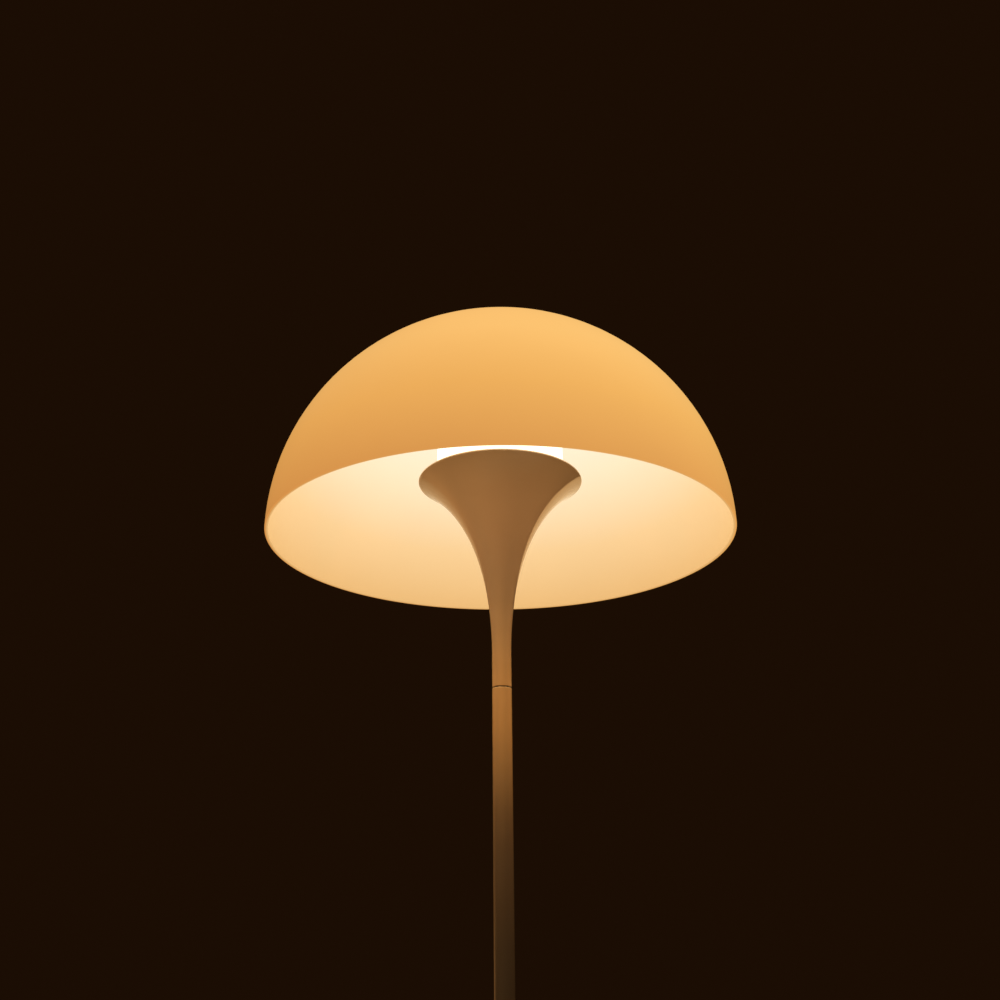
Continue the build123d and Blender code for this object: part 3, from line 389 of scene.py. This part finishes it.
def plated_sheet():
    """Zinc-plated sheet, with the faint grain of rolling and some dull patches."""
    look = Look("plate_steel", Metallic=1.0)
    tint = look.blend(look.noise(45, 4), colour(158, 160, 162), colour(196, 197, 196))
    rough = look.wander(30, 0.26, 0.42, detail=5)
    return look.finish(tint, rough, look.bump(look.noise(700, 3, (0.06, 1, 1)), 0.00002))


def plated_turned():
    """Zinc-plated turned steel, with fine rings from the lathe."""
    look = Look("zinc_steel", Metallic=1.0)
    tint = look.blend(look.noise(200, 3), colour(176, 178, 180), colour(206, 206, 204))
    rough = look.wander(260, 0.22, 0.36)
    return look.finish(tint, rough, look.bump(look.noise(1600, 2, (0.1, 0.1, 1)), 0.00002))


def spring_steel():
    """Drawn spring wire."""
    look = Look("spring_steel", Metallic=1.0)
    tint = look.blend(look.noise(900, 2), colour(150, 150, 152), colour(186, 186, 187))
    rough = look.wander(700, 0.24, 0.36)
    return look.finish(tint, rough, look.bump(look.noise(2600, 2), 0.00001))


def brass():
    """Bright brass, a little tarnished."""
    look = Look("brass", Metallic=1.0)
    tarnish = look.span(look.noise(160, 5), 0.45, 0.8)
    tint = look.blend(tarnish, colour(224, 186, 108), colour(170, 128, 66))
    rough = look.wander(240, 0.20, 0.34)
    return look.finish(tint, rough, look.bump(look.noise(1500, 2), 0.00002))


def porcelain():
    """Unglazed ceramic."""
    look = Look("porcelain", IOR=1.5)
    tint = look.blend(look.noise(140, 4), colour(232, 227, 214), colour(242, 238, 228))
    rough = look.wander(260, 0.55, 0.70)
    return look.finish(tint, rough, look.bump(look.noise(1100, 4), 0.00004))


def nickel():
    """Thin bright nickel plating on pressed metal."""
    look = Look("nickel", Metallic=1.0)
    tint = look.blend(look.noise(180, 3), colour(204, 200, 192), colour(222, 219, 212))
    rough = look.wander(320, 0.12, 0.22)
    return look.finish(tint, rough, look.bump(look.noise(800, 2), 0.00001))


def board():
    """The white solder mask of the light chips' board."""
    look = Look("board", Metallic=0.2)
    tint = look.blend(look.noise(300, 2), colour(222, 222, 220), colour(232, 232, 230))
    rough = look.wander(500, 0.30, 0.42)
    return look.finish(tint, rough, look.bump(look.noise(1800, 2), 0.00001))


def light_chip():
    """Glowing phosphor."""
    look = Look("light_chip", Emission_Strength=CHIP_GLOW, IOR=1.5)
    glow = look.blend(look.noise(1200, 2), colour(255, 218, 150), colour(255, 232, 178))
    tint = look.blend(look.noise(1500, 2), colour(240, 214, 96), colour(246, 224, 124))
    rough = look.wander(900, 0.3, 0.4)
    return look.finish(tint, rough, look.bump(look.noise(2600, 2), 0.00001), glow)


def conductor():
    """Brown insulation of the two conductors."""
    look = Look("conductor", IOR=1.46)
    tint = look.blend(look.noise(300, 2), colour(116, 70, 40), colour(134, 84, 50))
    rough = look.wander(400, 0.40, 0.52)
    return look.finish(tint, rough, look.bump(look.noise(1500, 2), 0.00002))


MAKERS = {
    "white_paint": white_paint, "opal_shade": opal_shade, "opal_drum": opal_drum, "opal_globe": opal_globe,
    "white_plastic": moulded_white, "black_plastic": moulded_black, "black_rubber": black_rubber,
    "lead_jacket": lead_jacket, "iron_weight": iron_weight, "plate_steel": plated_sheet,
    "zinc_steel": plated_turned, "spring_steel": spring_steel, "brass": brass, "porcelain": porcelain,
    "nickel": nickel, "board": board, "light_chip": light_chip, "conductor": conductor,
}


def dress_nodes(looks):
    """Gives every CAD node the finish of its material slot."""
    for part in frame["record"]["subparts"]:
        mesh = frame["nodes"][part["node"]].data
        mesh.materials.clear()
        mesh.materials.append(looks[part["material_slot"]])


# ---- The return spring --------------------------------------------------------------------------
def wire_rings(mesh, low, high):
    """Rings of points round a coiled wire that fills the box from low to high."""
    middle = (low + high) / 2
    reach = (high.x - low.x) / 2 - SPRING_WIRE
    foot, rise = low.z + SPRING_WIRE, high.z - low.z - 2 * SPRING_WIRE
    steps = SPRING_TURNS * TURN_STEPS
    slants = [2 * pi * side / WIRE_SIDES for side in range(WIRE_SIDES)]
    up = Vector((0, 0, 1))
    rings = []
    for step in range(steps + 1):
        turn = 2 * pi * step / TURN_STEPS
        out = Vector((cos(turn), sin(turn), 0))
        centre = Vector((middle.x, middle.y, foot + rise * step / steps)) + reach * out
        rings.append([mesh.verts.new(centre + SPRING_WIRE * (cos(a) * out + sin(a) * up)) for a in slants])
    return rings


def spring_mesh(low, high):
    """The coiled wire as a closed mesh."""
    mesh = bmesh.new()
    rings = wire_rings(mesh, low, high)
    for near, far in zip(rings, rings[1:]):
        for side in range(WIRE_SIDES):
            after = (side + 1) % WIRE_SIDES
            mesh.faces.new((near[side], far[side], far[after], near[after]))
    mesh.faces.new(rings[0])
    mesh.faces.new(rings[-1])
    bmesh.ops.recalc_face_normals(mesh, faces=mesh.faces)
    for face in mesh.faces:
        face.smooth = True
    data = bpy.data.meshes.new("return_spring")
    mesh.to_mesh(data)
    mesh.free()
    return data


def return_spring(look):
    """The return spring, its wire made again as a coil in the CAD spring's place."""
    low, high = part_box("switch_spring")
    data = spring_mesh(low, high)
    data.materials.append(look)
    spring = bpy.data.objects.new("return_spring", data)
    bpy.context.scene.collection.objects.link(spring)
    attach(spring, "stand")
    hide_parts("switch_spring")
    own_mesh(spring)


# ---- Camera, floor and light --------------------------------------------------------------------
def make_camera():
    """The photograph's camera, low in front of the lamp and looking up."""
    data = bpy.data.cameras.new("camera")
    data.sensor_width = SENSOR
    data.lens = FOCAL_LENGTH * SENSOR / IMAGE_SIDE
    data.clip_start = CAMERA_CLIP
    camera = bpy.data.objects.new("camera", data)
    bpy.context.scene.collection.objects.link(camera)
    place = Matrix.Translation((-AXIS_SHIFT, -CAMERA_DISTANCE, RIM - CAMERA_BELOW_RIM))
    pitch = Matrix.Rotation(radians(90 + CAMERA_PITCH), 4, "X")
    camera.matrix_world = place @ (pitch @ Matrix.Rotation(radians(CAMERA_ROLL), 4, "Z"))
    bpy.context.scene.camera = camera


def hang_light(data, place, aim):
    """Puts a light up where the camera doesn't see it, and aims it."""
    light = bpy.data.objects.new(data.name, data)
    bpy.context.scene.collection.objects.link(light)
    light.location = place
    light.rotation_euler = (Vector(aim) - Vector(place)).to_track_quat("-Z", "Y").to_euler()
    light.visible_camera = False
    return light


def area_light(name, place, aim, side, power, spread, shade):
    """A soft square light, which spreads by so many degrees."""
    data = bpy.data.lights.new(name, "AREA")
    data.size = side
    data.energy = power
    data.color = shade
    data.spread = radians(spread)
    return hang_light(data, place, aim)


def fade_to_edges(light):
    """Makes an area light brightest in the middle, so that its reflection has no outline."""
    light.data.use_nodes = True
    tree = light.data.node_tree
    spot = tree.nodes.new("ShaderNodeNewGeometry").outputs["Parametric"]
    offset = tree.nodes.new("ShaderNodeVectorMath")
    offset.operation = "DISTANCE"
    offset.inputs[1].default_value = (0.5, 0.5, 0.0)
    fade = tree.nodes.new("ShaderNodeMapRange")
    fade.interpolation_type = "SMOOTHSTEP"
    for key, value in {"From Min": 0.0, "From Max": 0.5, "To Min": 1.0, "To Max": 0.0}.items():
        fade.inputs[key].default_value = value
    tree.links.new(spot, offset.inputs[0])
    tree.links.new(offset.outputs["Value"], fade.inputs["Value"])
    tree.links.new(fade.outputs["Result"], tree.nodes["Emission"].inputs["Strength"])


def spot_light(name, place, aim, power, reach, shade):
    """A soft round pool of light: reach is its radius where it is aimed."""
    data = bpy.data.lights.new(name, "SPOT")
    data.energy = power
    data.color = shade
    data.spot_size = 2 * atan2(reach, (Vector(aim) - Vector(place)).length)
    data.spot_blend = 1.0
    data.shadow_soft_size = POOL_SOURCE
    hang_light(data, place, aim).visible_glossy = False


def make_floor():
    """A plain pale floor, round and so wide that its edge is lost in the dark."""
    bpy.ops.mesh.primitive_circle_add(
        vertices=FLOOR_SIDES, radius=FLOOR_RADIUS, fill_type="NGON", location=(0, 0, FLOOR))
    floor = bpy.context.object
    floor.name = "floor"
    look = Look("floor")
    tint = look.blend(look.noise(3), colour(196, 190, 180), colour(202, 196, 187))
    floor.data.materials.append(look.finish(tint, look.wander(8, 0.6, 0.7)))


def make_surroundings():
    """Dim warm light from all round, and colours shown as they are."""
    scene = bpy.context.scene
    scene.view_settings.view_transform = "Standard"
    world = bpy.data.worlds.new("surround")
    scene.world = world
    world.use_nodes = True
    world.node_tree.nodes["Background"].inputs["Color"].default_value = (*AMBIENT_LIGHT, 1.0)


def make_lights():
    """Soft light on the foot and from behind on the left, and pools of light up the stem."""
    for side, place, power in FOOT_LIGHTS:
        area_light(
            "foot_" + side, place, FOOT_AIM, FOOT_LIGHT_SIDE, power, FOOT_LIGHT_SPREAD, STUDIO_COLOUR)
    broad = area_light(
        "broad_left", BROAD_PLACE, BROAD_AIM, BROAD_SIDE, BROAD_POWER, BROAD_SPREAD, SIDE_COLOUR)
    fade_to_edges(broad)
    for side, aside in POOL_ASIDE.items():
        for name, height, aim, reach, powers, shade in POOLS:
            place = (aside, POOL_AHEAD, height)
            spot_light(name + "_" + side, place, (0, 0, aim), powers[side], reach, shade)


looks = {slot: make() for slot, make in MAKERS.items()}
make_camera()
dress_nodes(looks)
return_spring(looks["spring_steel"])
make_floor()
make_surroundings()
make_lights()
